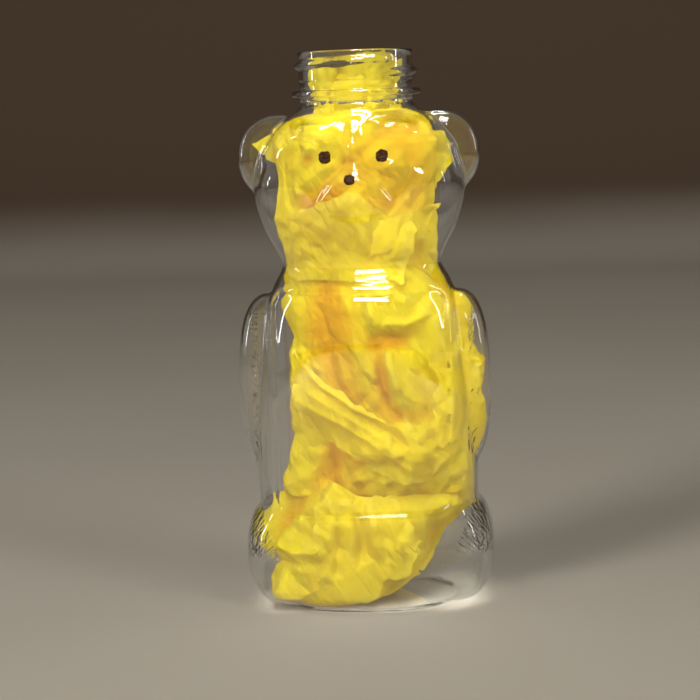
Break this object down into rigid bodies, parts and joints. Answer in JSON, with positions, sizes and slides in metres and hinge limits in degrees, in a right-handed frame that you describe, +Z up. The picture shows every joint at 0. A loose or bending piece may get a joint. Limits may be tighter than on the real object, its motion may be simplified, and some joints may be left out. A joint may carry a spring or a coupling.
{
  "type": "bear-shaped squeeze bottle",
  "caption": "Clear blow-moulded bear bottle with an open threaded neck, label panels front and back, dabbed eyes and nose, stuffed with crumpled yellow tissue paper.",
  "frame": {"origin": "middle of the base, on the surface that the bottle stands on", "axes": "+Z up through the neck, the bear faces -Y, +X is to the right of someone who looks at its face"},
  "size_m": [0.0774, 0.0559, 0.1687],
  "materials": {
    "clear_plastic": "clear glossy moulded plastic",
    "dark_paint": "hand-dabbed dark brown paint, slightly glossy",
    "tissue_paper": "thin crumpled yellow tissue paper"
  },
  "bodies": {
    "root": {"bottle": "clear_plastic", "left_eye": "dark_paint", "right_eye": "dark_paint", "nose": "dark_paint", "neck_tissue": "tissue_paper", "head_tissue": "tissue_paper", "torso_tissue": "tissue_paper", "base_tissue": "tissue_paper"}
  },
  "joints": []
}
